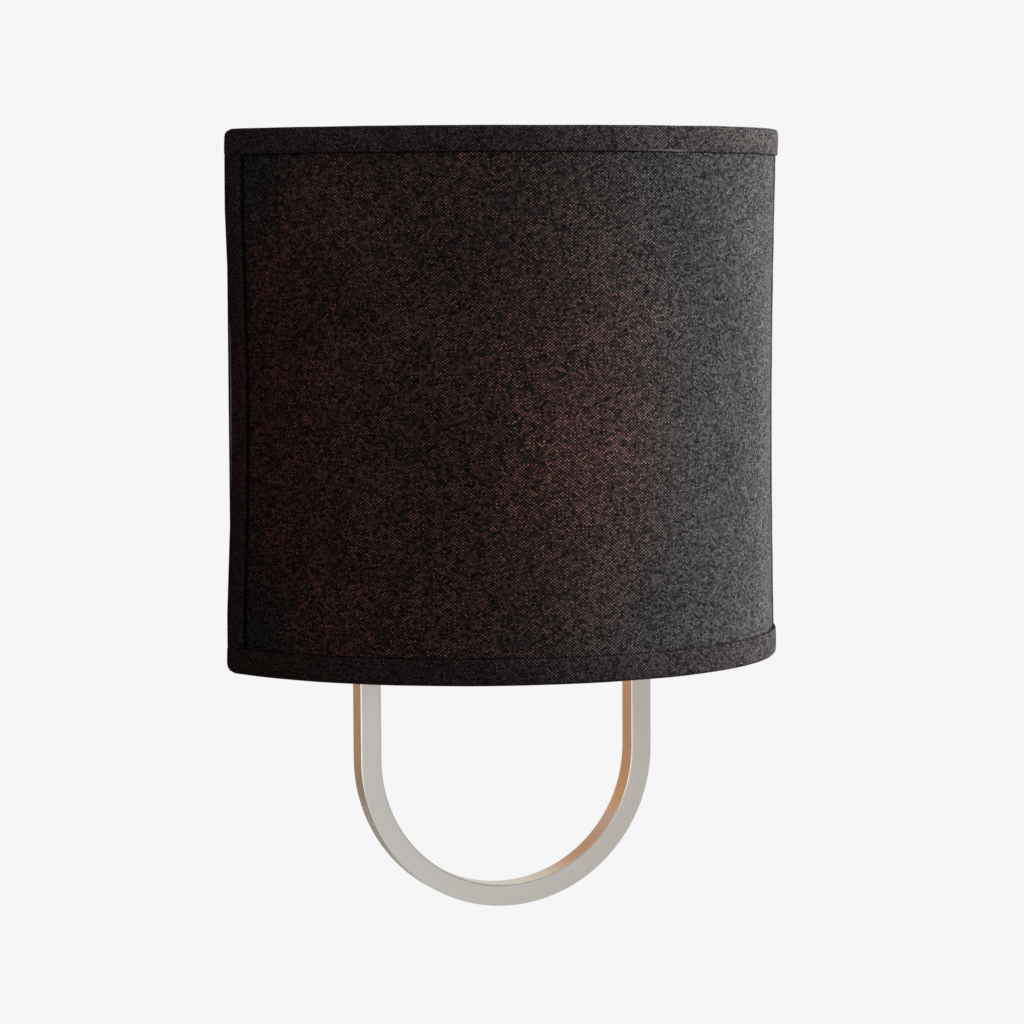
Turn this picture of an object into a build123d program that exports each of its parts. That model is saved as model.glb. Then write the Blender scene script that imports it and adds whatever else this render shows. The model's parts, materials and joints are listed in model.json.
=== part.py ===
from build123d import *
import os
from math import acos, asin, cos, pi, sin, tan

# Fabric shade wall light: a half-drum shade hung in front of a shallow back pan, with a
# U-shaped rectangular bar screwed to the pan's sides and hanging below the shade.
# Millimetres. The wall is the plane y = 0, the room is towards -Y, +Z is up, and the
# origin is the middle of the mounting strap. "Depth" is a distance from the wall.

# ---- U bar ----
BAR_GAP = 117.0             # clear width between the legs
BAR_FACE = 9.4              # width of the bar seen from the front
BAR_DEPTH = 12.0            # wall to the bar's front face
BAR_ARRIS = 0.8             # rounding of the bar's long edges
BAR_DROP = 110.0            # how far the bar hangs below the shade
BAR_TOP = 70.0              # height of the legs' upper ends
BAR_SCREW_RISE = 50.0       # height of the leg screws above and below the middle

# ---- Back pan ----
PAN_HEIGHT = 190.0
PAN_SHEET = 1.0
PAN_CORNER = 8.0
PAN_FRONT_BEND = 2.0
PAN_BACK_BEVEL = 0.7        # inside the front bend
PAN_SCREW_OUT = 24.0        # each pan screw from the middle

# ---- Shade ----
SHADE_WIDTH = 254.0         # across the two back edges, over the trim
SHADE_HEIGHT = 231.7
SHADE_BULGE = 93.9          # from the back edges to the front of the curve
TRIM_SHEET = 0.9
FABRIC_SHEET = 0.8
LINER_SHEET = 0.5
TRIM_TALL = 11.0            # band along the top and the bottom edge
TRIM_WIDE = 11.5            # band down each back edge
TRIM_TURN_IN = 7.0          # how far the bands reach inside
TRIM_ROLL = 2.0             # rounding where a band folds over the wire
TOP_CORNER = 3.5            # rounding of the upper back corners
BOTTOM_CORNER = 4.5         # rounding of the lower back corners
WIRE_D = 3.0                # ring wire
WIRE_BEND = 6.0             # bend of a ring wire at its two corners

# ---- Hangers, studs and thumb nuts ----
HANGER_WIDE = 16.0
HANGER_SHEET = 1.5
HANGER_OUT = 38.0           # each hanger from the middle
HANGER_CORNER = 3.0
STUD_INSET = 31.0           # studs from the pan's upper and lower end
LIFT = 12.0                 # how far the shade lifts to come free
HOOK_STUD_D = 5.0
HOOK_HEAD_D = 9.0
HOOK_HEAD_TALL = 1.6
HOOK_HEAD_BEVEL = 0.7
NUT_STUD_D = 4.0
NUT_STUD_LONG = 11.0        # thread in front of the pan
NUT_D = 13.0
NUT_LONG = 6.5
NUT_COLLAR_D = 9.0
NUT_COLLAR_LONG = 1.8
NUT_FLUTES = 18
NUT_FLUTE_DEEP = 0.5

# ---- Mounting strap ----
STRAP_WIDE = 19.0
STRAP_END = 4.65            # slot to the strap's end
STRAP_SHEET = 1.6
BOX_SCREW_NEAR = 69.85      # smaller outlet box, screw to screw
BOX_SCREW_FAR = 88.9        # larger outlet box, screw to screw
BOX_SLOT_WIDE = 4.8
GROUND_SCREW_OUT = 13.0

# ---- Screws ----
SCREW_D = 4.0
SCREW_HEAD_D = 7.5
SCREW_HEAD_TALL = 2.2
SCREW_HEAD_BEVEL = 0.9
SCREW_SLOT_WIDE = 0.9
SCREW_GRIP = 6.0            # thread held by the bar
BRACKET_SCREW_TALL = 45.0   # upper bracket screw below the middle
BRACKET_SCREW_PITCH = 16.0

# ---- Bulb and socket ----
BULB_DEPTH = 58.0           # bulb axis from the wall
BULB_CENTRE_DROP = 10.0     # middle of the globe below the middle of the pan
BULB_GLOBE_D = 60.0
BULB_REACH = 76.0           # tip contact to the middle of the globe
BULB_NECK_D = 26.4
BULB_NECK_TOP = 34.0        # tip contact to the end of the straight neck
BULB_GLASS = 0.8
BULB_CAP_D = 26.0
BULB_CAP_TOP = 27.0         # tip contact to the cap's upper rim
BULB_CAP_FOOT = 6.0         # tip contact to the cap's lower rim
BULB_CAP_SHEET = 0.5
BULB_TIP_D = 9.0
BULB_TIP_TALL = 1.5
BULB_TIP_BEVEL = 0.9
SOCKET_WALL = 4.4
SOCKET_FLOOR = 7.5
SOCKET_LIP = 1.2
SOCKET_WAIST_TALL = 16.0    # narrower lower part of the socket
SOCKET_STAND = 1.0          # socket's rim above the bulb's cap
SHELL_SHEET = 0.5
SHELL_TALL = 24.0
CONTACT_WIDE = 6.0
CONTACT_SHEET = 0.6
CONTACT_REACH = 4.5         # half the length of the sprung tongue
CONTACT_RISE = 1.8          # tongue's rise from its foot to the bulb
BRACKET_WIDE = 22.0
BRACKET_SHEET = 1.5
BRACKET_BEND = 2.0          # inside radius of the bracket's fold
BRACKET_TALL = 36.0         # the upright above its lower screw hole
NIPPLE_D = 9.6
NIPPLE_BORE = 6.4
NIPPLE_GRIP = 5.0           # thread held by the socket
LOCKNUT_ACROSS = 14.0
LOCKNUT_TALL = 3.0
WASHER_D = 14.0
WASHER_SHEET = 0.8
WASHER_TEETH = 12
WASHER_TOOTH_DEEP = 0.9

# ---- Leads ----
LEAD_D = 2.0
LEAD_APART = 3.4            # centre to centre where they pass the bushing
LEAD_RISE = 11.0            # leads above the socket's underside
LEAD_GRIP = 5.0             # lead held by the socket
LEAD_SPREAD = 18.0          # each lead's connector from the middle
LEAD_BEND = 4.0             # bend behind the bushing
LEAD_SWEEP = 24.0           # gentle bends inside the pan
BUSHING_LIP = 1.6
BUSHING_LIP_SHEET = 1.2
BUSHING_WALL = 1.4
CONNECTOR_D = 9.0
CONNECTOR_TIP_D = 5.6
CONNECTOR_LONG = 19.0
CONNECTOR_RISE = 24.0       # open end of a connector above the middle
CONNECTOR_BORE = 4.2
CONNECTOR_SKIRT = 4.8       # straight part round the open end
CONNECTOR_RIBS = 9
CONNECTOR_RIB_DEEP = 0.6
GROUND_BARREL_D = 3.4
GROUND_BARREL_LONG = 7.0
GROUND_RING_D = 9.5
GROUND_RING_SHEET = 0.8

# ---- Clearances ----
HANG_GAP = 0.4              # pan to hanger
SLIDE_GAP = 0.3             # stud to hanger, thumb nut to hanger
TURN_GAP = 0.05             # radial, thumb nut on its stud
BULB_GAP = 0.3              # bulb cap and tip to the socket
SEAT_GAP = 0.05             # between round pieces that are fixed together
WALL_GAP = 0.4              # screw ends to the wall

# ---- Sizes that follow ----
PAN_WIDTH = BAR_GAP
PAN_DEPTH = BAR_DEPTH
HANGER_BACK = PAN_DEPTH + HANG_GAP
HANGER_FRONT = HANGER_BACK + HANGER_SHEET
WIRE_R = WIRE_D / 2
WIRE_DEPTH = HANGER_FRONT + WIRE_R
SHADE_BACK = HANGER_FRONT - TRIM_SHEET
SHADE_R = ((SHADE_WIDTH / 2) ** 2 + SHADE_BULGE ** 2) / (2 * SHADE_BULGE)
ARC_Y = SHADE_R - SHADE_BULGE - SHADE_BACK
FABRIC_R = SHADE_R - TRIM_SHEET
LINER_R = FABRIC_R - FABRIC_SHEET
INSIDE_R = LINER_R - LINER_SHEET
WIRE_ARC_R = INSIDE_R - WIRE_R
WIRE_TURN = pi - acos((ARC_Y + WIRE_DEPTH) / WIRE_ARC_R)
WIRE_BEND_REACH = WIRE_BEND * tan(WIRE_TURN / 2) + WIRE_R
TURN_IN_R = WIRE_ARC_R - WIRE_R
FABRIC_TOP = SHADE_HEIGHT / 2 - TRIM_SHEET
WIRE_TOP = FABRIC_TOP - WIRE_R
BEND_R = BAR_GAP / 2 + BAR_FACE / 2
BEND_Z = -SHADE_HEIGHT / 2 - BAR_DROP + BEND_R + BAR_FACE / 2
STUD_Z = PAN_HEIGHT / 2 - STUD_INSET
NUT_BACK = HANGER_FRONT + SLIDE_GAP
HOOK_SHOULDER = HANGER_FRONT + SLIDE_GAP
BOX_SLOT_PITCH = (BOX_SCREW_NEAR + BOX_SCREW_FAR) / 2
BOX_SLOT_LONG = (BOX_SCREW_FAR - BOX_SCREW_NEAR) / 2 + BOX_SLOT_WIDE
STRAP_LONG = BOX_SLOT_PITCH + BOX_SLOT_LONG + 2 * STRAP_END
TIP_Z = -BULB_CENTRE_DROP - BULB_REACH
SHELL_R = BULB_CAP_D / 2 + BULB_GAP
SOCKET_CAVITY_R = SHELL_R + SHELL_SHEET + SEAT_GAP
SOCKET_R = SOCKET_CAVITY_R + SOCKET_WALL
CONTACT_TOP = TIP_Z - BULB_GAP
SOCKET_FLOOR_Z = CONTACT_TOP - CONTACT_SHEET - CONTACT_RISE
SOCKET_FOOT = SOCKET_FLOOR_Z - SOCKET_FLOOR
SOCKET_RIM = TIP_Z + BULB_CAP_TOP + SOCKET_STAND
LEAD_Z = SOCKET_FOOT + LEAD_RISE
BUSHING_BORE_R = LEAD_APART / 2 + LEAD_D / 2 + BULB_GAP
BUSHING_R = BUSHING_BORE_R + BUSHING_WALL
BOSS_FACE = BULB_DEPTH - SOCKET_R - LEAD_GRIP / 2
LEAD_DEPTH = PAN_DEPTH / 2


def wall_plane(depth):
    """Plane facing the room at a depth; its own x is X and its own y is Z."""
    return Plane.XZ.offset(depth)


def toward_room(sketch, near, far):
    """A sketch drawn as seen from the room, made solid between two depths."""
    return extrude(wall_plane(near) * sketch, far - near)


def upright(sketch, low, high):
    """A sketch drawn as seen from above, made solid between two heights."""
    return extrude(Plane.XY.offset(low) * sketch, high - low)


def mirrored_pair(solid):
    return Part() + [solid, mirror(solid, Plane.YZ)]


def notched_disc(outer_r, notch_deep, count):
    """Disc whose rim is cut by V notches all round."""
    points = []
    for step in range(2 * count):
        r = outer_r - notch_deep * (step % 2)
        turn = pi * step / count
        points.append((r * cos(turn), r * sin(turn)))
    return make_face(Polyline(*points, close=True))


def headed_screw(shank_d, head_d, head_tall, long):
    """Slotted screw along Z: the head stands on z = 0 and the shank hangs below it."""
    head = Cylinder(head_d / 2, head_tall, align=(Align.CENTER, Align.CENTER, Align.MIN))
    head = chamfer(head.edges().group_by(Axis.Z)[-1], SCREW_HEAD_BEVEL)
    slot = Pos(0, 0, head_tall) * Box(head_d, SCREW_SLOT_WIDE, head_tall)
    shank = Cylinder(shank_d / 2, long, align=(Align.CENTER, Align.CENTER, Align.MAX))
    return head - slot + shank


def screw_to_wall(x, z, head_depth, long):
    """A screw put in from the room, its head standing on the face at head_depth."""
    place = Plane(origin=(x, -head_depth, z), x_dir=(1, 0, 0), z_dir=(0, -1, 0))
    return place * headed_screw(SCREW_D, SCREW_HEAD_D, SCREW_HEAD_TALL, long)


# ---- U bar and its screws ----

def make_u_bar():
    left_top = (-BEND_R, -BAR_DEPTH / 2, BAR_TOP)
    left_low = (-BEND_R, -BAR_DEPTH / 2, BEND_Z)
    bottom = (0, -BAR_DEPTH / 2, BEND_Z - BEND_R)
    right_low = (BEND_R, -BAR_DEPTH / 2, BEND_Z)
    right_top = (BEND_R, -BAR_DEPTH / 2, BAR_TOP)
    path = Wire([
        Edge.make_line(left_top, left_low),
        Edge.make_three_point_arc(left_low, bottom, right_low),
        Edge.make_line(right_low, right_top),
    ])
    start = Plane(origin=left_top, x_dir=(1, 0, 0), z_dir=(0, 0, -1))
    bar = sweep(start * RectangleRounded(BAR_FACE, BAR_DEPTH, BAR_ARRIS), path=path)
    hole = Cylinder(SCREW_D / 2 + SEAT_GAP, BAR_GAP + 2 * (SCREW_GRIP + SEAT_GAP), rotation=(0, 90, 0))
    for z in (-BAR_SCREW_RISE, BAR_SCREW_RISE):
        bar -= Pos(0, -BAR_DEPTH / 2, z) * hole
    return bar


def make_bar_screws():
    """Two screws a side, from inside the pan through its side wall into the bar."""
    screws = []
    for side in (-1, 1):
        for z in (-BAR_SCREW_RISE, BAR_SCREW_RISE):
            seat = (side * (PAN_WIDTH / 2 - PAN_SHEET), -BAR_DEPTH / 2, z)
            place = Plane(origin=seat, x_dir=(0, 0, 1), z_dir=(-side, 0, 0))
            screws.append(place * headed_screw(SCREW_D, SCREW_HEAD_D, SCREW_HEAD_TALL, PAN_SHEET + SCREW_GRIP))
    return Part() + screws


# ---- Back pan, strap and their screws ----

def bracket_screw_heights():
    return (-BRACKET_SCREW_TALL, -BRACKET_SCREW_TALL - BRACKET_SCREW_PITCH)


def make_back_pan():
    """Shallow drawn pan, open to the wall, with a rounded front rim."""
    block = toward_room(RectangleRounded(PAN_WIDTH, PAN_HEIGHT, PAN_CORNER), 0, PAN_DEPTH)
    block = fillet(block.faces().sort_by(Axis.Y)[0].edges(), PAN_FRONT_BEND)
    hollow = RectangleRounded(PAN_WIDTH - 2 * PAN_SHEET, PAN_HEIGHT - 2 * PAN_SHEET, PAN_CORNER - PAN_SHEET)
    inside = toward_room(hollow, 0, PAN_DEPTH - PAN_SHEET)
    inside = chamfer(inside.faces().sort_by(Axis.Y)[0].edges(), PAN_BACK_BEVEL)
    pan = block - inside
    holes = Sketch()
    for side in (-1, 1):
        holes += Pos(side * HANGER_OUT, STUD_Z) * Circle(HOOK_STUD_D / 2 + SEAT_GAP)
        holes += Pos(side * HANGER_OUT, -STUD_Z) * Circle(NUT_STUD_D / 2 + SEAT_GAP)
        holes += Pos(side * PAN_SCREW_OUT, 0) * Circle(SCREW_D / 2 + SEAT_GAP)
    for z in bracket_screw_heights():
        holes += Pos(0, z) * Circle(SCREW_D / 2 + SEAT_GAP)
    holes += Pos(0, LEAD_Z) * Circle(BUSHING_R + SEAT_GAP)
    pan -= toward_room(holes, 0, 2 * PAN_DEPTH)
    side_hole = Cylinder(SCREW_D / 2 + SEAT_GAP, 2 * PAN_WIDTH, rotation=(0, 90, 0))
    for z in (-BAR_SCREW_RISE, BAR_SCREW_RISE):
        pan -= Pos(0, -BAR_DEPTH / 2, z) * side_hole
    return pan


def make_mounting_strap():
    """Flat steel strap that screws to the outlet box through two slots."""
    plate = SlotOverall(STRAP_LONG, STRAP_WIDE)
    for side in (-1, 1):
        plate -= Pos(side * BOX_SLOT_PITCH / 2, 0) * SlotOverall(BOX_SLOT_LONG, BOX_SLOT_WIDE)
        plate -= Pos(side * PAN_SCREW_OUT, 0) * Circle(SCREW_D / 2 + SEAT_GAP)
    plate -= Pos(GROUND_SCREW_OUT, 0) * Circle(SCREW_D / 2 + SEAT_GAP)
    return toward_room(plate, 0, STRAP_SHEET)


def make_pan_screws():
    """The two long screws that draw the pan to the strap."""
    return mirrored_pair(screw_to_wall(PAN_SCREW_OUT, 0, PAN_DEPTH, PAN_DEPTH - WALL_GAP))


def make_ground_screw():
    seat = STRAP_SHEET + GROUND_RING_SHEET
    return screw_to_wall(GROUND_SCREW_OUT, 0, seat, seat - WALL_GAP)


# ---- Studs and thumb nuts ----

def rivet_stud(x, z, stud_d, end_depth):
    """Stud through the pan's front, with a riveted foot behind it."""
    foot = Pos(x, z) * Circle(stud_d / 2 + PAN_SHEET)
    stud = toward_room(foot, PAN_DEPTH - 2 * PAN_SHEET, PAN_DEPTH - PAN_SHEET)
    return stud + toward_room(Pos(x, z) * Circle(stud_d / 2), PAN_DEPTH - PAN_SHEET, end_depth)


def make_hook_studs():
    """Two shouldered studs whose heads pass the keyholes of the hangers."""
    end = HOOK_SHOULDER + HOOK_HEAD_TALL
    stud = rivet_stud(HANGER_OUT, STUD_Z, HOOK_STUD_D, end)
    head = toward_room(Pos(HANGER_OUT, STUD_Z) * Circle(HOOK_HEAD_D / 2), HOOK_SHOULDER, end)
    head = chamfer(head.edges().group_by(Axis.Y)[0], HOOK_HEAD_BEVEL)
    return mirrored_pair(stud + head)


def make_nut_studs():
    stud = rivet_stud(HANGER_OUT, -STUD_Z, NUT_STUD_D, PAN_DEPTH + NUT_STUD_LONG)
    tip = stud.edges().filter_by(GeomType.CIRCLE).group_by(Axis.Y)[0]
    return mirrored_pair(chamfer(tip, NUT_STUD_D / 8))


def make_thumb_nut(side):
    """Fluted nut with a plain collar that bears on the hanger."""
    wheel_back = NUT_BACK + NUT_COLLAR_LONG
    wheel_front = NUT_BACK + NUT_LONG
    spot = Pos(side * HANGER_OUT, -STUD_Z)
    fluted = spot * notched_disc(NUT_D / 2, NUT_FLUTE_DEEP, NUT_FLUTES)
    wheel = toward_room(spot * Circle(NUT_D / 2), wheel_back, wheel_front)
    wheel = chamfer(wheel.edges().group_by(Axis.Y)[0], NUT_FLUTE_DEEP)
    wheel &= toward_room(fluted, wheel_back, wheel_front)
    collar = toward_room(spot * Circle(NUT_COLLAR_D / 2), NUT_BACK, wheel_back)
    bore = toward_room(spot * Circle(NUT_STUD_D / 2 + TURN_GAP), 0, 2 * wheel_front)
    return wheel + collar - bore


# ---- Shade ----

def behind(depth):
    """Everything in plan between the wall side and a depth."""
    reach = 4 * SHADE_R
    return Pos(0, reach / 2 - depth) * Rectangle(reach, reach)


def plan_band(outer_r, inner_r, back_depth):
    """The shade's curve in plan between two radii, cut straight at a depth."""
    ring = Circle(outer_r) - Circle(inner_r)
    return Pos(0, ARC_Y) * ring - behind(back_depth)


def make_shade_fabric():
    return upright(plan_band(FABRIC_R, LINER_R, SHADE_BACK + TRIM_SHEET), -FABRIC_TOP, FABRIC_TOP)


def make_shade_liner():
    return upright(plan_band(LINER_R, INSIDE_R, SHADE_BACK + TRIM_SHEET), -FABRIC_TOP, FABRIC_TOP)


def ring_outline():
    """Centre line of a ring: the shade's curve closed by a straight back."""
    shape = Pos(0, ARC_Y) * Circle(WIRE_ARC_R) - behind(WIRE_DEPTH)
    shape = fillet(shape.vertices(), WIRE_BEND)
    return shape.face().outer_wire()


def make_ring(height):
    path = Pos(0, 0, height) * ring_outline()
    start = Plane(origin=path.position_at(0), z_dir=path.tangent_at(0))
    return sweep(start * Circle(WIRE_R), path=path)


def corner_profile():
    """The shade's back edge from the side, with its two rounded corners."""
    reach = 2 * SHADE_R
    side = Plane.YZ * Pos(-SHADE_BACK - reach / 2, 0) * Rectangle(reach, SHADE_HEIGHT)
    block = extrude(side, SHADE_WIDTH, both=True)
    back = block.edges().filter_by(Axis.X).group_by(Axis.Y)[-1].sort_by(Axis.Z)
    block = fillet(back[-1], TOP_CORNER)
    back = block.edges().filter_by(Axis.X).group_by(Axis.Y)[-1].sort_by(Axis.Z)
    return fillet(back[0], BOTTOM_CORNER)


def make_edge_trim(up):
    """Band folded over the top (up = 1) or the bottom (up = -1) edge and its ring wire."""
    edge = SHADE_HEIGHT / 2
    fold_r = TURN_IN_R - TRIM_SHEET
    span = SHADE_R - fold_r
    outside = Pos(fold_r + span / 2, edge - TRIM_TALL / 2) * Rectangle(span, TRIM_TALL)
    outside = fillet(outside.vertices().group_by(Axis.Y)[-1], TRIM_ROLL)
    band = revolve(Plane.XZ * outside, Axis.Z)
    hollow_span = FABRIC_R - TURN_IN_R
    hollow = Pos(TURN_IN_R + hollow_span / 2, FABRIC_TOP - TRIM_TALL / 2) * Rectangle(hollow_span, TRIM_TALL)
    skip = TRIM_TALL - TRIM_TURN_IN
    clear = Pos(fold_r + span / 4, edge - TRIM_TALL + skip / 2) * Rectangle(span / 2, skip)
    inside = revolve(Plane.XZ * hollow, Axis.Z)
    inside = Pos(0, ARC_Y) * inside - upright(behind(SHADE_BACK + TRIM_SHEET), -edge, edge)
    band = Pos(0, ARC_Y) * band - inside - Pos(0, ARC_Y) * revolve(Plane.XZ * clear, Axis.Z)
    wire_way = plan_band(INSIDE_R, fold_r, 0) & behind(WIRE_DEPTH + WIRE_BEND_REACH)
    band -= upright(wire_way, -edge, FABRIC_TOP)
    if up < 0:
        band = mirror(band, Plane.XY)
    return band & corner_profile()


def make_side_trim(side):
    """Band folded round a back edge, between the top and the bottom band."""
    lining_r = INSIDE_R - SEAT_GAP
    fold = plan_band(SHADE_R, lining_r - TRIM_SHEET, SHADE_BACK)
    fold -= plan_band(FABRIC_R, lining_r, SHADE_BACK + TRIM_SHEET)
    fold &= behind(SHADE_BACK + TRIM_WIDE)
    half = SHADE_HEIGHT / 2 - TRIM_TALL
    strip = upright(fold, -half, half)
    return strip.solids().sort_by(Axis.X)[-1 if side > 0 else 0]


def make_hanger(side):
    """Flat keyhole strap from the top ring to the bottom ring."""
    tall = 2 * (WIRE_TOP + WIRE_R)
    plate = RectangleRounded(HANGER_WIDE, tall, HANGER_CORNER)
    neck = HOOK_STUD_D + 2 * SLIDE_GAP
    plate -= Pos(0, STUD_Z - LIFT / 2) * SlotCenterToCenter(LIFT, neck, rotation=90)
    plate -= Pos(0, STUD_Z - LIFT) * Circle(HOOK_HEAD_D / 2 + 2 * SLIDE_GAP)
    slot = NUT_STUD_D + 2 * SLIDE_GAP
    plate -= Pos(0, -STUD_Z - LIFT / 2) * SlotCenterToCenter(LIFT, slot, rotation=90)
    return toward_room(Pos(side * HANGER_OUT, 0) * plate, HANGER_BACK, HANGER_FRONT)


# ---- Socket and bracket ----

def on_bulb_axis(solid):
    return Pos(0, -BULB_DEPTH) * solid


def turned(points):
    """Solid of revolution about the bulb's axis from radius, height points."""
    outline = make_face(Polyline(*points, close=True))
    return on_bulb_axis(revolve(Plane.XZ * outline, Axis.Z))


def make_socket_bracket():
    """Folded steel angle: the upright is screwed to the pan, the foot carries the socket."""
    upper = BRACKET_TALL - BRACKET_SCREW_TALL - BRACKET_SCREW_PITCH
    low = SOCKET_FOOT - BRACKET_SHEET
    leg = Pos(-PAN_DEPTH - BRACKET_SHEET / 2, (upper + low) / 2) * Rectangle(BRACKET_SHEET, upper - low)
    foot_long = BULB_DEPTH - PAN_DEPTH
    foot = Pos(-PAN_DEPTH - foot_long / 2, low + BRACKET_SHEET / 2) * Rectangle(foot_long, BRACKET_SHEET)
    angle = leg + foot
    inner_corner = (-PAN_DEPTH - BRACKET_SHEET, SOCKET_FOOT, 0)
    angle = fillet(angle.vertices().sort_by_distance(inner_corner)[0], BRACKET_BEND)
    angle = fillet(angle.vertices().sort_by_distance((-PAN_DEPTH, low, 0))[0], BRACKET_BEND + BRACKET_SHEET)
    bracket = extrude(Plane.YZ * angle, BRACKET_WIDE / 2, both=True)
    bracket += on_bulb_axis(upright(Circle(BRACKET_WIDE / 2), low, SOCKET_FOOT))
    bracket -= on_bulb_axis(upright(Circle(NIPPLE_D / 2 + SEAT_GAP), low - BRACKET_SHEET, SOCKET_FOOT + BRACKET_SHEET))
    holes = Sketch() + [Pos(0, z) * Circle(SCREW_D / 2 + SEAT_GAP) for z in bracket_screw_heights()]
    holes += Pos(0, LEAD_Z) * Circle(BUSHING_R + SEAT_GAP)
    return bracket - toward_room(holes, 0, PAN_DEPTH + 2 * BRACKET_SHEET)


def make_bracket_screws():
    face = PAN_DEPTH + BRACKET_SHEET
    reach = BRACKET_SHEET + PAN_SHEET + SCREW_D / 2
    return Part() + [screw_to_wall(0, z, face, reach) for z in bracket_screw_heights()]


def make_socket_body():
    """Moulded socket: thick floor, straight cavity, stepped outside and a lead boss behind."""
    waist = SOCKET_R - SOCKET_LIP
    shoulder = SOCKET_FOOT + SOCKET_WAIST_TALL
    outline = [
        (0, SOCKET_FOOT),
        (waist - SOCKET_LIP, SOCKET_FOOT),
        (waist, SOCKET_FOOT + SOCKET_LIP),
        (waist, shoulder - SOCKET_LIP),
        (SOCKET_R, shoulder),
        (SOCKET_R, SOCKET_RIM - SOCKET_LIP),
        (SOCKET_R - SOCKET_LIP, SOCKET_RIM),
        (SOCKET_CAVITY_R, SOCKET_RIM),
        (SOCKET_CAVITY_R, SOCKET_FLOOR_Z),
        (0, SOCKET_FLOOR_Z),
    ]
    body = turned(outline)
    boss_wide = LEAD_APART + 3 * LEAD_D
    boss_tall = 3 * LEAD_D
    boss = toward_room(Pos(0, LEAD_Z) * RectangleRounded(boss_wide, boss_tall, LEAD_D / 2), BOSS_FACE, BULB_DEPTH)
    body += boss - on_bulb_axis(upright(Circle(SOCKET_CAVITY_R), SOCKET_FLOOR_Z, SOCKET_RIM))
    for side in (-1, 1):
        spot = Pos(side * LEAD_APART / 2, LEAD_Z)
        body -= toward_room(spot * Circle(LEAD_D / 2 + SEAT_GAP), BOSS_FACE, BOSS_FACE + LEAD_GRIP)
    well = Cylinder(NIPPLE_D / 2 + SEAT_GAP, 2 * NIPPLE_GRIP)
    return body - Pos(0, -BULB_DEPTH, SOCKET_FOOT) * well


def make_socket_shell():
    """Metal screw shell: a cup with a hole in its floor for the centre contact."""
    outer = SHELL_R + SHELL_SHEET
    floor = SOCKET_FLOOR_Z
    hole = CONTACT_WIDE
    outline = [
        (hole, floor),
        (outer, floor),
        (outer, floor + SHELL_TALL),
        (SHELL_R, floor + SHELL_TALL),
        (SHELL_R, floor + SHELL_SHEET),
        (hole, floor + SHELL_SHEET),
    ]
    return turned(outline)


def make_socket_contact():
    """Sprung brass tongue that the bulb's tip presses."""
    reach = CONTACT_REACH
    foot = SOCKET_FLOOR_Z
    top = CONTACT_TOP
    t = CONTACT_SHEET
    outline = make_face(Polyline(
        (-reach, foot),
        (-reach / 3, foot),
        (reach / 2, top - t),
        (reach, top - t),
        (reach, top),
        (reach / 2 - t / 2, top),
        (-reach / 3 - t / 2, foot + t),
        (-reach, foot + t),
        close=True,
    ))
    return on_bulb_axis(extrude(Plane.XZ * outline, CONTACT_WIDE / 2, both=True))


def make_socket_nipple():
    """Threaded tube that clamps the socket to the bracket's foot."""
    low = SOCKET_FOOT - BRACKET_SHEET - WASHER_SHEET - LOCKNUT_TALL - BRACKET_SHEET
    tube = Circle(NIPPLE_D / 2) - Circle(NIPPLE_BORE / 2)
    return on_bulb_axis(upright(tube, low, SOCKET_FOOT + NIPPLE_GRIP))


def make_lock_washer():
    """Washer with a toothed rim."""
    top = SOCKET_FOOT - BRACKET_SHEET
    disc = notched_disc(WASHER_D / 2, WASHER_TOOTH_DEEP, WASHER_TEETH) - Circle(NIPPLE_D / 2 + SEAT_GAP)
    return on_bulb_axis(upright(disc, top - WASHER_SHEET, top))


def make_lock_nut():
    top = SOCKET_FOOT - BRACKET_SHEET - WASHER_SHEET
    hexagon = RegularPolygon(LOCKNUT_ACROSS / 2, 6, major_radius=False)
    nut = upright(hexagon - Circle(NIPPLE_D / 2 + SEAT_GAP), top - LOCKNUT_TALL, top)
    return on_bulb_axis(nut)


# ---- Bulb ----

def bulb_outline(inset):
    """Half outline of the glass, moved in by the inset: neck, flare and globe."""
    globe = BULB_GLOBE_D / 2 - inset
    neck = BULB_NECK_D / 2 - inset
    rise = BULB_REACH - BULB_NECK_TOP
    full_globe = BULB_GLOBE_D / 2
    full_neck = BULB_NECK_D / 2
    flare = (full_neck ** 2 + rise ** 2 - full_globe ** 2) / (2 * (full_globe - full_neck)) + inset
    middle = TIP_Z + BULB_REACH
    low = TIP_Z + BULB_CAP_TOP
    flare_x = full_neck + flare - inset
    lean = asin(rise / (globe + flare))
    meet = (globe * cos(lean), middle - globe * sin(lean))
    half_turn = lean / 2
    flare_mid = (flare_x - flare * cos(half_turn), middle - rise + flare * sin(half_turn))
    sweep_mid = (pi / 2 - lean) / 2
    globe_mid = (globe * cos(sweep_mid), middle + globe * sin(sweep_mid))
    edges = [
        Line((0, low), (neck, low)),
        Line((neck, low), (neck, TIP_Z + BULB_NECK_TOP)),
        ThreePointArc((neck, TIP_Z + BULB_NECK_TOP), flare_mid, meet),
        ThreePointArc(meet, globe_mid, (0, middle + globe)),
        Line((0, middle + globe), (0, low)),
    ]
    return make_face(edges)


def make_bulb_glass():
    outer = revolve(Plane.XZ * bulb_outline(0), Axis.Z)
    inner = revolve(Plane.XZ * bulb_outline(BULB_GLASS), Axis.Z)
    return on_bulb_axis(outer - inner)


def make_bulb_cap():
    """Aluminium screw cap: a thin cup with a rolled shoulder at its foot."""
    r = BULB_CAP_D / 2
    low = TIP_Z + BULB_CAP_FOOT
    high = TIP_Z + BULB_CAP_TOP
    t = BULB_CAP_SHEET
    outline = [
        (r - 3 * t, low),
        (r - t, low),
        (r, low + t),
        (r, high),
        (r - t, high),
        (r - t, low + 2 * t),
        (r - 3 * t, low + 2 * t),
    ]
    return turned(outline)


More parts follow.
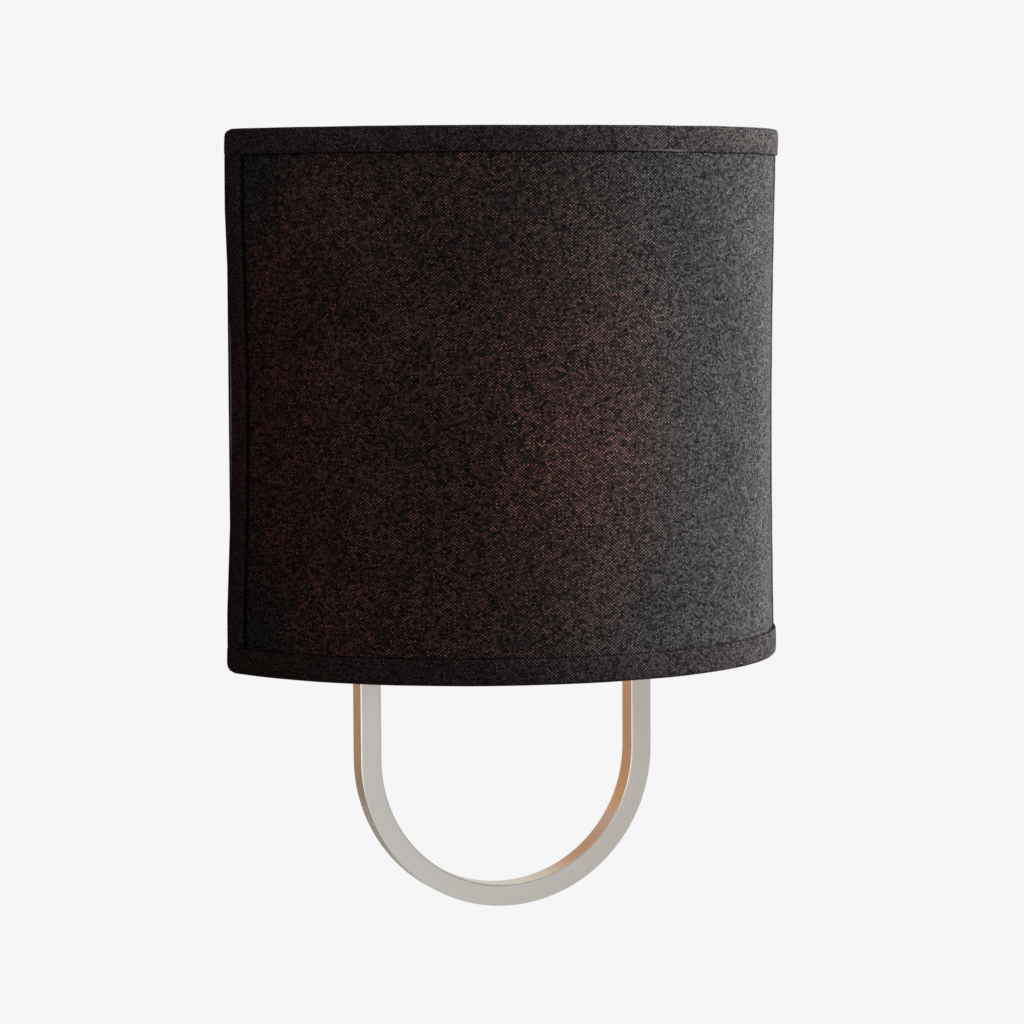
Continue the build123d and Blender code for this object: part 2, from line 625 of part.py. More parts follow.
def make_bulb_insulator():
    """Dark glass cone between the cap and the tip contact."""
    r = BULB_CAP_D / 2 - BULB_CAP_SHEET
    low = TIP_Z + BULB_TIP_TALL
    outline = [
        (0, low),
        (BULB_TIP_D / 2, low),
        (r - 2 * BULB_CAP_SHEET, TIP_Z + BULB_CAP_FOOT),
        (r - 2 * BULB_CAP_SHEET, TIP_Z + BULB_CAP_FOOT + 2 * BULB_CAP_SHEET),
        (0, TIP_Z + BULB_CAP_FOOT + 2 * BULB_CAP_SHEET),
    ]
    return turned(outline)


def make_bulb_tip():
    tip = Cylinder(BULB_TIP_D / 2, BULB_TIP_TALL, align=(Align.CENTER, Align.CENTER, Align.MIN))
    tip = chamfer(tip.edges().group_by(Axis.Z)[0], BULB_TIP_BEVEL)
    return Pos(0, -BULB_DEPTH, TIP_Z) * tip


# ---- Leads ----

def tube_along(points, bends, diameter):
    """Round wire of straight runs joined by tangent arcs."""
    path = FilletPolyline(*points, radius=bends)
    start = Plane(origin=path @ 0, z_dir=path % 0)
    return sweep(start * Circle(diameter / 2), path=path)


def make_lead(side):
    """Insulated lead: socket boss, bushing, up behind the pan's front, connector."""
    x = side * LEAD_APART / 2
    far_x = side * LEAD_SPREAD
    points = [
        (x, -BOSS_FACE - LEAD_GRIP, LEAD_Z),
        (x, -LEAD_DEPTH, LEAD_Z),
        (x, -LEAD_DEPTH, -BRACKET_SCREW_TALL + SCREW_HEAD_D),
        (far_x, -LEAD_DEPTH, -SCREW_HEAD_D / 2),
        (far_x, -LEAD_DEPTH, CONNECTOR_RISE + LEAD_D),
    ]
    return tube_along(points, [LEAD_BEND, LEAD_SWEEP, LEAD_SWEEP], LEAD_D)


def make_ground_lead():
    """Ground wire: ring terminal under the ground screw, crimped barrel, wire to its connector."""
    ring = Circle(GROUND_RING_D / 2) - Circle(SCREW_D / 2 + SEAT_GAP)
    eye = toward_room(Pos(GROUND_SCREW_OUT, 0) * ring, STRAP_SHEET, STRAP_SHEET + GROUND_RING_SHEET)
    barrel_depth = STRAP_SHEET + GROUND_BARREL_D / 2
    barrel_low = SCREW_HEAD_D / 2 + SEAT_GAP
    barrel = upright(Pos(GROUND_SCREW_OUT, -barrel_depth) * Circle(GROUND_BARREL_D / 2),
                     barrel_low, barrel_low + GROUND_BARREL_LONG)
    points = [
        (GROUND_SCREW_OUT, -barrel_depth, barrel_low + GROUND_BARREL_LONG / 2),
        (GROUND_SCREW_OUT, -barrel_depth, barrel_low + GROUND_BARREL_LONG + LEAD_D),
        (0, -LEAD_DEPTH, CONNECTOR_RISE - 2 * LEAD_D),
        (0, -LEAD_DEPTH, CONNECTOR_RISE + LEAD_D),
    ]
    return eye + barrel + tube_along(points, [LEAD_BEND, LEAD_BEND], LEAD_D)


def make_lead_bushing():
    """Snap bushing through the bracket and the pan."""
    front = PAN_DEPTH + BRACKET_SHEET
    back = PAN_DEPTH - PAN_SHEET
    spot = Pos(0, LEAD_Z)
    body = toward_room(spot * Circle(BUSHING_R), back, front)
    body += toward_room(spot * Circle(BUSHING_R + BUSHING_LIP), front, front + BUSHING_LIP_SHEET)
    body += toward_room(spot * Circle(BUSHING_R + BUSHING_LIP / 2), back - BUSHING_LIP_SHEET, back)
    return body - toward_room(spot * Circle(BUSHING_BORE_R), 0, 2 * front)


def make_wire_connector(x):
    """Ribbed twist-on connector, open end down."""
    low = CONNECTOR_RISE
    shoulder = low + CONNECTOR_SKIRT
    wide = notched_disc(CONNECTOR_D / 2, CONNECTOR_RIB_DEEP, CONNECTOR_RIBS)
    narrow = notched_disc(CONNECTOR_TIP_D / 2, CONNECTOR_RIB_DEEP, CONNECTOR_RIBS)
    top = Plane.XY.offset(low + CONNECTOR_LONG) * narrow
    cone = loft([Plane.XY.offset(shoulder) * wide, top], ruled=True)
    bore = upright(Circle(CONNECTOR_BORE / 2), low, low + CONNECTOR_LONG / 2)
    return Pos(x, -LEAD_DEPTH) * (upright(wide, low, shoulder) + cone - bore)


PIECES = {
    "u_bar": make_u_bar(),
    "bar_screws": make_bar_screws(),
    "back_pan": make_back_pan(),
    "mounting_strap": make_mounting_strap(),
    "pan_screws": make_pan_screws(),
    "ground_screw": make_ground_screw(),
    "hook_studs": make_hook_studs(),
    "nut_studs": make_nut_studs(),
    "thumb_nut_left": make_thumb_nut(-1),
    "thumb_nut_right": make_thumb_nut(1),
    "shade_fabric": make_shade_fabric(),
    "shade_liner": make_shade_liner(),
    "top_ring": make_ring(WIRE_TOP),
    "bottom_ring": make_ring(-WIRE_TOP),
    "top_trim": make_edge_trim(1),
    "bottom_trim": make_edge_trim(-1),
    "left_trim": make_side_trim(-1),
    "right_trim": make_side_trim(1),
    "left_hanger": make_hanger(-1),
    "right_hanger": make_hanger(1),
    "socket_bracket": make_socket_bracket(),
    "bracket_screws": make_bracket_screws(),
    "socket_body": make_socket_body(),
    "socket_shell": make_socket_shell(),
    "socket_contact": make_socket_contact(),
    "socket_nipple": make_socket_nipple(),
    "lock_washer": make_lock_washer(),
    "lock_nut": make_lock_nut(),
    "bulb_glass": make_bulb_glass(),
    "bulb_cap": make_bulb_cap(),
    "bulb_insulator": make_bulb_insulator(),
    "bulb_tip": make_bulb_tip(),
    "hot_lead": make_lead(-1),
    "neutral_lead": make_lead(1),
    "ground_lead": make_ground_lead(),
    "lead_bushing": make_lead_bushing(),
    "hot_connector": make_wire_connector(-LEAD_SPREAD),
    "neutral_connector": make_wire_connector(LEAD_SPREAD),
    "ground_connector": make_wire_connector(0),
}

os.makedirs("parts", exist_ok=True)
for name, piece in PIECES.items():
    export_step(piece, f"parts/{name}.step")
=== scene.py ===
import json
from math import acos, cos, pi, radians, sin, sqrt

import bmesh
import bpy
from mathutils import Matrix, Vector, noise
from mathutils.geometry import tessellate_polygon


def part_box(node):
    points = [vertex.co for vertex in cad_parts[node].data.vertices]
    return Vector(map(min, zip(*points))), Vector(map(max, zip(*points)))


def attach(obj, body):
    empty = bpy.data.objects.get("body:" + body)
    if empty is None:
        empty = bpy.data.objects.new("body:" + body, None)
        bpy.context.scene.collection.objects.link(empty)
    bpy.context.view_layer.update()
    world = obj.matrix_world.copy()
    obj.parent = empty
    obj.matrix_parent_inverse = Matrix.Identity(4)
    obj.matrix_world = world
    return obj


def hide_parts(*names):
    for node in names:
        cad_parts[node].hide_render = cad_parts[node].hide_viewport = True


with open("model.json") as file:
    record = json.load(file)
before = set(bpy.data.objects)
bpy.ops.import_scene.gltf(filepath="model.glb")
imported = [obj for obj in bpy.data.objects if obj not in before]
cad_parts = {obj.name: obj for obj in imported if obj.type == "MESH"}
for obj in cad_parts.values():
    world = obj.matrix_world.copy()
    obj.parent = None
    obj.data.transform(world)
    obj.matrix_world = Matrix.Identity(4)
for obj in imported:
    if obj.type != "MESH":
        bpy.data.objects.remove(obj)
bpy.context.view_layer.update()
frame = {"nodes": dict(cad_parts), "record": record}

# Fabric shade wall light, dressed: linen, its folded bands, the film behind it, the nickel
# bar and the parts held inside. Metres, in the same frame as the solids.

SCENE = bpy.context.scene
MM = 0.001

# ---- Sizes read from the frame ----
BAND_LOW, BAND_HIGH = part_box("top_trim")
CLOTH_LOW, CLOTH_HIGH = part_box("shade_fabric")
FILM_LOW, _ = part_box("shade_liner")
RING_LOW, RING_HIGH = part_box("top_ring")
_, PAN_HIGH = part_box("back_pan")
BAR_LOW, BAR_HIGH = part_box("u_bar")
GLASS_LOW, GLASS_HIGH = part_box("bulb_glass")

HALF_WIDTH = BAND_HIGH.x
HALF_HEIGHT = BAND_HIGH.z
BULGE = BAND_HIGH.y - BAND_LOW.y
BACK_DEPTH = -BAND_HIGH.y
OUTER_R = (HALF_WIDTH ** 2 + BULGE ** 2) / (2 * BULGE)
ARC_Y = OUTER_R - BULGE - BACK_DEPTH
BAND_SHEET = CLOTH_LOW.y - BAND_LOW.y
CLOTH_SHEET = FILM_LOW.y - CLOTH_LOW.y
FILM_SHEET = RING_LOW.y - FILM_LOW.y
WIRE_D = RING_HIGH.z - RING_LOW.z
BAND_TALL = BAND_HIGH.z - BAND_LOW.z
CLOTH_TOP = CLOTH_HIGH.z
CLOTH_R = OUTER_R - BAND_SHEET
FILM_R = CLOTH_R - CLOTH_SHEET
INSIDE_R = FILM_R - FILM_SHEET
TURN_IN_R = INSIDE_R - WIRE_D
FOLD_R = TURN_IN_R - BAND_SHEET
BAR_BEND_R = (BAR_HIGH.x + PAN_HIGH.x) / 2
BAR_BEND_Z = BAR_LOW.z + BAR_HIGH.x
BULB_Z = GLASS_HIGH.z - (GLASS_HIGH.x - GLASS_LOW.x) / 2

# ---- Linen and film ----
SEAM_GAP = 0.05 * MM            # between the film and the cloth or band that lies on it
SHEET_COLUMNS = 180
SHEET_ROWS = 80
SHEET_WAVE = (34 * MM, 0.10 * MM)       # how long a wave of the linen is and how deep
SHEET_RIPPLE = (11 * MM, 0.10 * MM / 3)

# How the stretched linen draws a back edge in: offset, slope with height, depth of the bow,
# height of its middle and half its wavelength.
LEFT_BOW = (-0.34 * MM, 0.0060, 2.02 * MM, -4 * MM, 140 * MM)
RIGHT_BOW = (0.15 * MM, -0.0045, 1.40 * MM, 0.0, 210 * MM)
BOW_END = -0.35                 # the bow's cosine goes no lower, near the rings

# ---- Bands ----
STEP = 2.5 * MM
LEG_PARTS = 5                   # a band's outer leg, between its fold and its hem
BAND_WIDE = 11.5 * MM           # width of the side bands, outside and inside
BAND_TURN_IN = 7.0 * MM         # height of the edge bands' inner legs
BAND_ROLL = 1.6 * MM            # rounding where an edge band folds over its wire
BAND_PUFF = 0.14 * MM           # swell of a band between its fold and its hem
BAND_FLARE = 0.8 * MM           # the edge bands' right ends stand out from the cloth
END_INSET = 0.30 * MM           # a band's cut ends lie in by this much
WIRE_WAY = 11.5 * MM            # the edge bands' inner legs stop here for the ring's bend
LEG_OPENING = 2 * MM            # and grow back to their full size over this length
END_LEG = 0.9 * MM              # up to here an edge band closes over the cloth's and film's ends

# A band's end: its corner across and down, then how far it is drawn in at its hem and at its
# fold, fading over LEAN_REACH.
TOP_LEFT = (4.0 * MM, 4.0 * MM, 0.9 * MM, 1.3 * MM)
TOP_RIGHT = (2.5 * MM, 2.5 * MM, 0.0, 0.0)
BOTTOM_LEFT = (5.0 * MM, 5.0 * MM, 0.9 * MM, 0.6 * MM)
BOTTOM_RIGHT = (4.5 * MM, 4.0 * MM, 0.0, 0.0)
LEAN_REACH = 16 * MM

# How far an edge band's fold lies in: at the middle of the shade and at its right end. It
# isn't drawn in at the left end.
TOP_SAG = (0.33 * MM, -0.40 * MM)
BOTTOM_SAG = (-0.08 * MM, -0.60 * MM)

# Places along an edge band, in mm from its end, close together where its form changes.
END_PLACES = (
    0.0, 0.12, 0.3, 0.6, 0.88, 0.93, 1.5, 2.2, 3.0, 4.0, 5.0, 6.0, 7.5, 9.0, 10.2, 11.2, 12.4, 14.0,
)

# Uneven hems, swells and folds: how long a wave is and how deep.
EDGE_HEM_WAVE = (19 * MM, 0.22 * MM)
EDGE_HEM_RIPPLE = (5 * MM, 0.07 * MM)
EDGE_PUFF_WAVE = (9 * MM, 0.10 * MM)
EDGE_FOLD_WAVE = (23 * MM, 0.12 * MM)
EDGE_PUFF_REACH = 4 * MM        # the swell starts over this length below the fold
EDGE_FOLD_REACH = 6 * MM        # and the fold's own waves fade over this one
SIDE_HEM_WAVE = (21 * MM, 0.22 * MM)
SIDE_HEM_RIPPLE = (6 * MM, 0.06 * MM)
SIDE_PUFF_WAVE = (10 * MM, 0.10 * MM)
SIDE_PUFF_REACH = 3 * MM
SIDE_LIP = 0.35 * MM            # length of a side band's inset end
LEFT_TAPER = 0.7 * MM           # how far back from its hem a side band has its full thickness
RIGHT_TAPER = 3.0 * MM
SHARP_ANGLE = radians(45)

# ---- Weave ----
WARP_PITCH = 0.88 * MM
WEFT_PITCH = 0.69 * MM
WANDER_SCALE = 140.0            # pace of the noise that bends the yarns
WARP_WANDER = 0.9 * WARP_PITCH  # and how far it moves them
WEFT_WANDER = -0.8 * WEFT_PITCH
YARN_DIP = 0.45                 # how far a yarn drops where it goes under
SLUB_PACE = 0.22                # pace of the thick and thin places, per crossing
WARP_STRIDE = 3.71              # neighbours' distance in the noise, so that they differ
WEFT_STRIDE = 5.13
WEFT_SEED = 9.0
SLUB_TONES = (0.34, 0.66, 0.18, 0.52)   # range of that noise, then of the tone it gives
CELL_TONE = 0.5                 # tone from each crossing's own chance value
CROWN_TONES = (0.1, 0.8, 0.5, 1.0)      # range of heights on a yarn, then of the tone there
WARP_TONE = 0.26                # the warp's tone beside the weft's
FLECK_POWER = 1.9
CLOUD_SCALE = 22.0
CLOUD_TONES = (0.7, 0.65)       # gain and start of the cloth's broad unevenness
FUZZ = (0.3, 0.02)              # gain and start of the sheen
LINEN_DARK = (0.004, 0.004, 0.004)
LINEN_PALE = (0.74, 0.735, 0.73)
TRIM_PALE = (0.64, 0.565, 0.56)
SHEEN_TINT = (0.80, 0.80, 0.82)

# ---- Painted glow: the bulb's light through the linen ----
# A painted glow field: the angle of its middle and half its width, in degrees from the front,
# then its height and half its extent up and down.
GLOW_FIELD = (-24, 50, BULB_Z + 10 * MM, 0.145)
GLOW_CORE = (4, 17, BULB_Z - 6 * MM, 0.070)
GLOW_SPOTS = (-9, 10, BULB_Z - 10 * MM, 0.050)
FIELD_EDGE = (1.10, 0.78)       # the field fades in between these shares of its extent
RAGGED_SCALE = 30.0
FIELD_RAGGED = 0.50             # and its edge wanders over this share
CORE_GAIN = 2.1                 # how much brighter the core is than the field
PALE_GAIN = 16.4                # painted glow through the pale yarns
LEAK_GAIN = 3.2                 # painted glow through gaps at the spots
LEAST_GLOW = 0.04
LEAK_CELLS = (0.70, 0.95)       # crossings' chance values that leave a gap
CLUSTER_SCALE = 160.0
CLUSTERS = (0.48, 0.62)         # the noise's values where gaps gather
GLOW_RED = (1.0, 0.09, 0.05)
GLOW_ORANGE = (1.0, 0.46, 0.12)
GLOW_STRENGTH = 0.0062
# Painted glow on the bands, even all over.
TRIM_GLOW = (1.0, 0.36, 0.28)
TRIM_GLOW_STRENGTH = 0.0030

# ---- Painted shade and light at the hems ----
SEAM_BESIDE = (1.2 * MM, 3.2 * MM)      # painted shade this far from the side bands' hems
SEAM_BESIDE_LEAST = (-20 * MM, 20 * MM, 0.22, 0.85)     # painted shade darker at the left than at the right
SEAM_BELOW = (0.30 * MM, 0.80 * MM)     # painted shade this far from the edge bands' hems
SEAM_BELOW_LEAST = 0.40
HEM_EDGE = (0.6 * MM, 1.2 * MM)         # painted shade up a band from its own hem
HEM_LEAST = 0.65
UPPER = (80 * MM, 110 * MM)     # heights over which the bands change to the upper one's painted paler look
UPPER_PAINTED_GAIN = 0.25               # the upper band is painted this much paler, as from light above
HIGHLIGHT_U = 43 * MM               # its hem has a painted highlight here, right of the middle,
HIGHLIGHT_LONG = (4 * MM, 14 * MM)  # fading to each side
HIGHLIGHT_TALL = (1.3 * MM, 1.9 * MM)       # and up the band
HIGHLIGHT_GAIN = 7.0


# ---- The shade's surface ----

def end_angle(r):
    """Angle from the front at which the plan curve of radius r meets the back plane."""
    return acos((ARC_Y + BACK_DEPTH) / r)


ARC_LONG = 2 * OUTER_R * end_angle(OUTER_R)


def bow(t, z):
    """How far the back edge on t's side is drawn in at the height z."""
    offset, slope, depth, middle, span = LEFT_BOW if t < 0 else RIGHT_BOW
    return offset + slope * z + depth * max(BOW_END, cos(pi * (z - middle) / span))


def on_shade(t, r, z, flare=0.0):
    """Point at t = -1 (left back edge) to 1 (right back edge), radius r and height z."""
    turn = t * end_angle(r)
    reach = r - (bow(t, z) - flare) * t * t
    return Vector((reach * sin(turn), ARC_Y - reach * cos(turn), z))


def from_edge(side, s):
    """The place t of a point s in from the left (-1) or right (1) back edge."""
    return side * (1 - 2 * s / ARC_LONG)


def unevenness(u, v, wave, seed=0.0):
    """Smooth chance value at u, v for a wave of some length and depth."""
    long, deep = wave
    return deep * noise.noise(Vector((u / long, v / long, seed)))


def arc(centre_a, centre_b, r, start, end, count):
    """Points on an arc in a section, angles in degrees."""
    turns = [radians(start + (end - start) * i / count) for i in range(count + 1)]
    return [(centre_a + r * cos(turn), centre_b + r * sin(turn)) for turn in turns]


# ---- Meshes ----

def loft(name, stations, along, around, section):
    """Closed skin through rings of points, with a UV map in metres: along, around."""
    count = len(stations[0])
    points = [point for ring in stations for point in ring]
    faces = []
    uvs = []
    for i in range(len(stations) - 1):
        here, there = i * count, (i + 1) * count
        for j in range(count):
            k = (j + 1) % count
            faces.append((here + j, here + k, there + k, there + j))
            uvs += [(along[i], around[j]), (along[i], around[j + 1])]
            uvs += [(along[i + 1], around[j + 1]), (along[i + 1], around[j])]
    last = (len(stations) - 1) * count
    flat = [Vector((a, b, 0.0)) for a, b in section]
    for corners in tessellate_polygon([flat]):
        for start, u in ((0, along[0]), (last, along[-1])):
            faces.append(tuple(start + j for j in corners))
            uvs += [(u, around[j]) for j in corners]
    mesh = bpy.data.meshes.new(name)
    mesh.from_pydata(points, [], faces)
    layer = mesh.uv_layers.new(name="cloth_m")
    for loop, uv in zip(layer.data, uvs):
        loop.uv = uv
    return finished(mesh)


def finished(mesh):
    """The mesh with its faces turned outward and smooth, apart from its sharp edges."""
    shape = bmesh.new()
    shape.from_mesh(mesh)
    bmesh.ops.recalc_face_normals(shape, faces=shape.faces)
    shape.to_mesh(mesh)
    shape.free()
    mesh.shade_smooth()
    mesh.set_sharp_from_angle(angle=SHARP_ANGLE)
    return mesh


def add_piece(mesh, body, slot, material, *replaced):
    """Puts a mesh into the scene as a piece of a body, in place of its solids."""
    piece = bpy.data.objects.new(mesh.name, mesh)
    SCENE.collection.objects.link(piece)
    mesh.materials.append(material)
    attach(piece, body)
    if replaced:
        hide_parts(*replaced)
    return piece


def girth(loop):
    """Running length round a closed section, one more value than it has points."""
    lengths = [0.0]
    for here, there in zip(loop, loop[1:] + loop[:1]):
        step = sqrt((there[0] - here[0]) ** 2 + (there[1] - here[1]) ** 2)
        lengths.append(lengths[-1] + step)
    return lengths


def curved_sheet(name, outer_r, thick):
    """Thin sheet round the half drum, drawn in at its back edges."""
    heights = [CLOTH_TOP * (2 * j / SHEET_ROWS - 1) for j in range(SHEET_ROWS + 1)]
    margin = BAND_SHEET / ARC_LONG * 2
    stations = []
    along = []
    for i in range(SHEET_COLUMNS + 1):
        t = (2 * i / SHEET_COLUMNS - 1) * (1 - margin)
        u = t * ARC_LONG / 2
        front = []
        rear = []
        for z in heights:
            r = outer_r + unevenness(u, z, SHEET_WAVE) + unevenness(u, z, SHEET_RIPPLE, 5.0)
            front.append(on_shade(t, r, z))
            rear.append(on_shade(t, r - thick, z))
        stations.append(front + rear[::-1])
        along.append(u)
    around = heights + heights[::-1] + heights[:1]
    section = [(z, outer_r) for z in heights] + [(z, outer_r - thick) for z in heights[::-1]]
    return loft(name, stations, along, around, section)


# ---- Folded bands ----

def outer_leg():
    """Places along a band's outer leg, as shares of its length, with their radius."""
    parts = [i / LEG_PARTS for i in range(1, LEG_PARTS)]
    return [(part, OUTER_R + BAND_PUFF * sin(pi * part)) for part in parts]


def edge_section(hem, leg_inner_r, inner_hem, inner_roll):
    """Band folded over a ring: (radius, distance below the shade's edge) round a section."""
    half = BAND_SHEET / 2
    section = arc(OUTER_R - half, hem - half, half, 180, 0, 6)
    leg = hem - half - BAND_ROLL
    section += [(r, hem - half - leg * part) for part, r in outer_leg()]
    section += arc(OUTER_R - BAND_ROLL, BAND_ROLL, BAND_ROLL, 0, -90, 6)
    section += arc(FOLD_R + inner_roll, inner_roll, inner_roll, -90, -180, 5)
    section += arc(FOLD_R + half, inner_hem - half, half, 180, 0, 4)
    section += [(TURN_IN_R, BAND_SHEET), (leg_inner_r, BAND_SHEET)]
    return section


def rounded_corner(s, z_in, corner):
    """Moves a point near the band's end onto the shade's rounded corner."""
    across, tall, hem_lean, fold_lean = corner
    a = max(0.0, (across - s) / across)
    b = max(0.0, (tall - z_in) / tall)
    if a and b:
        s = across - a * sqrt(1 - b * b / 2) * across
        z_in = tall - b * sqrt(1 - a * a / 2) * tall
    lean = hem_lean + (fold_lean - hem_lean) * max(0.0, 1 - z_in / BAND_TALL)
    return s + lean * max(0.0, 1 - s / LEAN_REACH), z_in


def edge_places():
    """Distances along an edge band, close together near its ends."""
    near = [value * MM for value in END_PLACES]
    between = ARC_LONG - 2 * near[-1]
    count = round(between / STEP)
    middle = [near[-1] + between * i / count for i in range(1, count)]
    return near + middle + [ARC_LONG - value for value in near[::-1]]


def fold_lift(place, s_end, side, up, sag):
    """How far an edge band's fold lies in at a place, from its waves and its sag."""
    lift = unevenness(place, 0, EDGE_FOLD_WAVE, 7 * up)
    t = from_edge(1, s_end)
    at_middle, at_right = sag
    if side > 0:
        return lift + (at_middle + (at_right - at_middle) * t)
    return lift + at_middle * (1 - t * t)


def edge_band(name, up, left_corner, right_corner, sag):
    """Linen tape folded over the upper (up = 1) or the lower (up = -1) ring."""
    stations = []
    places = edge_places()
    for place in places:
        s_end = min(place, ARC_LONG - place)
        side, corner, flare = -1, left_corner, 0.0
        if place >= ARC_LONG / 2:
            side, corner, flare = 1, right_corner, BAND_FLARE
        open_part = (s_end - WIRE_WAY + LEG_OPENING / 2) / LEG_OPENING
        open_part = min(1.0, max(0.0, open_part))
        inner_hem = BAND_SHEET + (BAND_TURN_IN - BAND_SHEET) * open_part
        inner_roll = BAND_SHEET / 2 + (BAND_ROLL - BAND_SHEET / 2) * open_part
        leg_inner_r = CLOTH_R if s_end > END_LEG else INSIDE_R
        hem = BAND_TALL + unevenness(place, 0, EDGE_HEM_WAVE, up)
        hem += unevenness(place, 0, EDGE_HEM_RIPPLE, up)
        puff = unevenness(place, 0, EDGE_PUFF_WAVE, 3 * up)
        lift = fold_lift(place, s_end, side, up, sag)
        inset = END_INSET * max(0.0, 1 - s_end / END_INSET) ** 2
        ring = []
        for r, below in edge_section(hem, leg_inner_r, inner_hem, inner_roll):
            if r > OUTER_R - BAND_SHEET / 2:
                r += puff * min(1.0, below / EDGE_PUFF_REACH)
            r = min(r, OUTER_R + BAND_PUFF - inset)
            drop = lift * max(0.0, 1 - below / EDGE_FOLD_REACH)
            s, z_in = rounded_corner(s_end, max(below, inset) + drop, corner)
            ring.append(on_shade(from_edge(side, s), r, up * (HALF_HEIGHT - z_in), flare))
        stations.append(ring)
    open_section = edge_section(BAND_TALL, CLOTH_R, BAND_TURN_IN, BAND_ROLL)
    end = edge_section(BAND_TALL, INSIDE_R, BAND_SHEET, BAND_SHEET / 2)
    return loft(name, stations, places, girth(open_section), end)


def side_section(hem, taper):
    """Band folded round a back edge: (distance from the edge, radius) round a section."""
    half = BAND_SHEET / 2
    inner_r = INSIDE_R - SEAM_GAP
    roll = (OUTER_R - inner_r + BAND_SHEET) / 2
    lip = BAND_SHEET / 5
    section = arc(hem - lip, CLOTH_R + lip, lip, -90, 75, 4)
    section.append((hem - taper, OUTER_R))
    leg = hem - taper - roll
    section += [(hem - taper - leg * part, r) for part, r in outer_leg()]
    section += arc(roll, OUTER_R - roll, roll, 90, 270, 10)
    section += arc(BAND_WIDE - half, inner_r - half, half, -90, 90, 4)
    section += [(BAND_SHEET, inner_r), (BAND_SHEET, CLOTH_R)]
    return section


def side_band(name, side, taper):
    """Linen tape folded round a back edge, between the two edge bands."""
    half_tall = HALF_HEIGHT - BAND_TALL
    count = round(2 * half_tall / STEP)
    heights = [half_tall * (2 * i / count - 1) for i in range(1, count)]
    heights = [-half_tall, -half_tall + SIDE_LIP] + heights + [half_tall - SIDE_LIP, half_tall]
    stations = []
    for z in heights:
        hem = BAND_WIDE + unevenness(z, 0, SIDE_HEM_WAVE, side)
        hem += unevenness(z, 0, SIDE_HEM_RIPPLE, side)
        puff = unevenness(z, 0, SIDE_PUFF_WAVE, 4 * side)
        inset = END_INSET if half_tall - abs(z) < SIDE_LIP / 2 else 0.0
        ring = []
        for s, r in side_section(hem, taper):
            if r > OUTER_R - BAND_SHEET / 2:
                r += puff * min(1.0, s / SIDE_PUFF_REACH) - inset
            ring.append(on_shade(from_edge(side, s), r, z))
        stations.append(ring)
    section = side_section(BAND_WIDE, taper)
    return loft(name, stations, heights, girth(section), section)


# ---- Node trees ----

class Tree:
    """Short way to write a material's nodes."""

    def __init__(self, name):
        self.material = bpy.data.materials.new(name)
        self.material.use_nodes = True
        self.nodes = self.material.node_tree.nodes
        self.links = self.material.node_tree.links
        self.nodes.clear()
        self.output = self.nodes.new("ShaderNodeOutputMaterial")
        self.bsdf = self.nodes.new("ShaderNodeBsdfPrincipled")
        self.show(self.bsdf)

    def show(self, shader):
        """Makes this shader the surface."""
        self.links.new(shader.outputs[0], self.output.inputs["Surface"])

    def put(self, socket, value):
        """Links another node's output, or sets a number, a vector or a colour."""
        if isinstance(value, bpy.types.NodeSocket):
            self.links.new(value, socket)
        elif hasattr(value, "__len__") and len(value) == 3 and socket.type == "RGBA":
            socket.default_value = (*value, 1.0)
        else:
            socket.default_value = value

    def add(self, kind, values=(), **settings):
        node = self.nodes.new("ShaderNode" + kind)
        for name, setting in settings.items():
            setattr(node, name, setting)
        for name, value in dict(values).items():
            self.put(node.inputs[name], value)
        return node

    def set(self, **values):
        """Sets the surface's sockets, with _ for a space in their names."""
        for name, value in values.items():
            self.put(self.bsdf.inputs[name.replace("_", " ")], value)

    def math(self, operation, a, b=0.0, c=0.0):
        return self.add("Math", {0: a, 1: b, 2: c}, operation=operation).outputs[0]

    def times(self, first, *others):
        """Product of numbers."""
        for other in others:
            first = self.math("MULTIPLY", first, other)
        return first

    def fit(self, value, gain, start):
        """value x gain + start."""
        return self.math("MULTIPLY_ADD", value, gain, start)

    def length(self, a, b):
        """Root of a x a + b x b."""
        squares = [self.math("POWER", side, 2.0) for side in (a, b)]
        return self.math("SQRT", self.math("ADD", *squares))

    def ramp(self, value, low, high, at_low=0.0, at_high=1.0, smooth=False):
        """The value's range from low to high, mapped and held beyond it."""
        values = {0: value, 1: low, 2: high, 3: at_low, 4: at_high}
        node = self.add("MapRange", values, clamp=True)
        if smooth:
            node.interpolation_type = "SMOOTHSTEP"
        return node.outputs[0]

    def mix(self, factor, a, b):
        """a where the factor is 0, b where it is 1, for colours."""
        node = self.add("Mix", data_type="RGBA")
        for index, value in ((0, factor), (6, a), (7, b)):
            self.put(node.inputs[index], value)
        return node.outputs[2]

    def choose(self, factor, a, b):
        """a where the factor is 0, b where it is 1, for numbers."""
        node = self.add("Mix", data_type="FLOAT")
        for index, value in ((0, factor), (2, a), (3, b)):
            self.put(node.inputs[index], value)
        return node.outputs[0]

    def place(self):
        return self.add("TexCoord").outputs["Object"]

    def parts(self, vector):
        return self.add("SeparateXYZ", {0: vector}).outputs

    def vector(self, x, y, z=0.0):
        return self.add("CombineXYZ", {0: x, 1: y, 2: z}).outputs[0]

    def stretch(self, vector, scales):
        return self.add("VectorMath", {0: vector, 1: scales}, operation="MULTIPLY").outputs[0]

    def noise(self, vector, scale, detail, rough=0.5):
        values = {"Vector": vector, "Scale": scale, "Detail": detail, "Roughness": rough}
        return self.add("TexNoise", values).outputs[0]

    def bump(self, height, distance, strength):
        values = {"Height": height, "Distance": distance, "Strength": strength}
        return self.add("Bump", values).outputs[0]


# ---- Cloth ----

